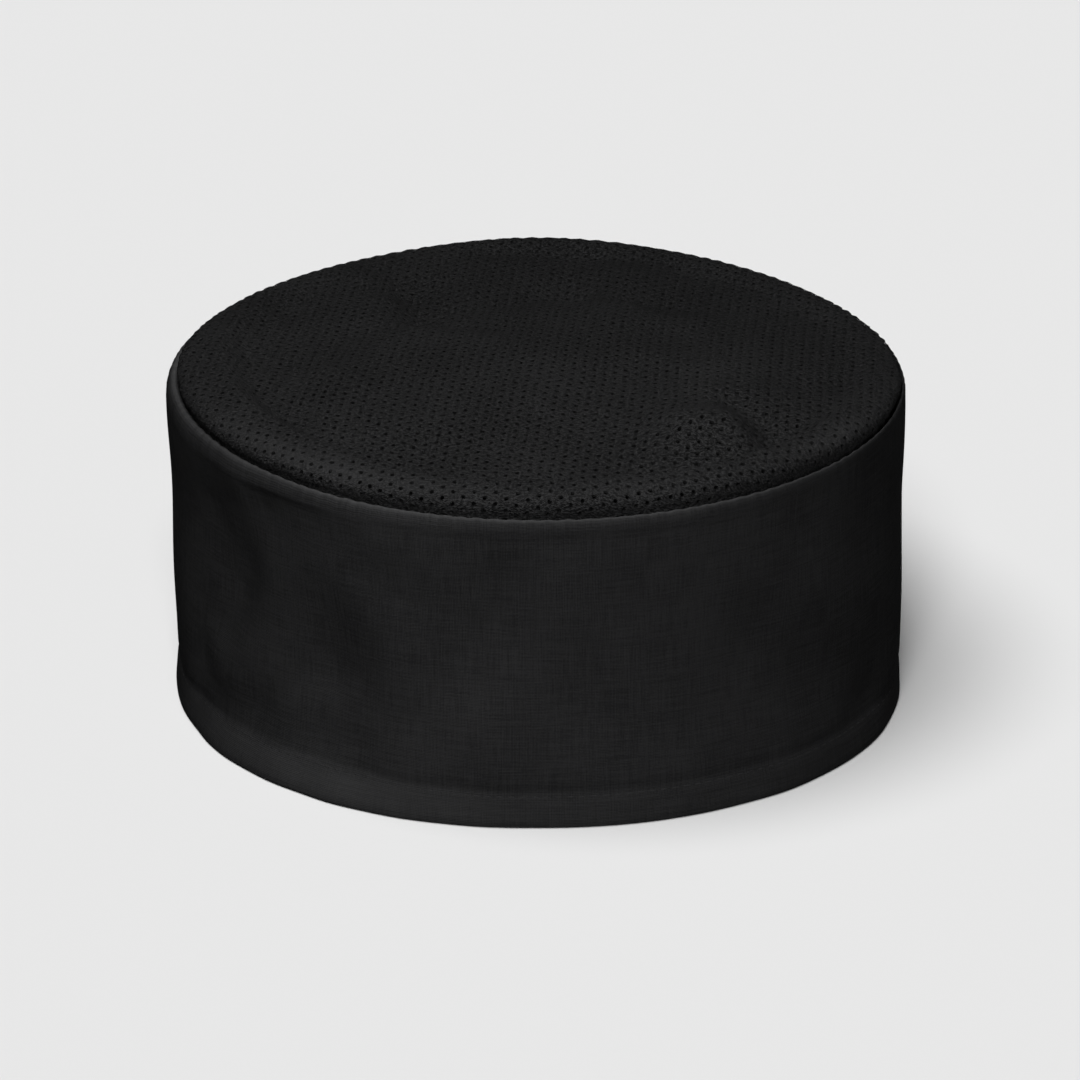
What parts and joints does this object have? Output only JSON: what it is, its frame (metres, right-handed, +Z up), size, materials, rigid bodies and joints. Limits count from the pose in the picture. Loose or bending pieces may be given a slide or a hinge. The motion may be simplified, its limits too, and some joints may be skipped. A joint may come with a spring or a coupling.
{
  "type": "chef skull cap",
  "caption": "Low round kitchen cap with an upright woven band, a flat eyelet mesh crown puffed into a roll along its seam, and a turned-up hem.",
  "frame": {"origin": "middle of the rim, on the plane that the cap rests on", "axes": "+Z up through the crown, -Y to the front of the cap, +X to the right seen from the front"},
  "size_m": [0.1946, 0.1945, 0.0931],
  "materials": {
    "woven_cloth": "matt black plain-woven polyester and cotton",
    "mesh_cloth": "matt black knitted eyelet mesh"
  },
  "bodies": {
    "root": {"side_band": "woven_cloth", "hem_turn_up": "woven_cloth", "crown_panel": "mesh_cloth", "crown_seam_allowance": "woven_cloth"}
  },
  "joints": []
}
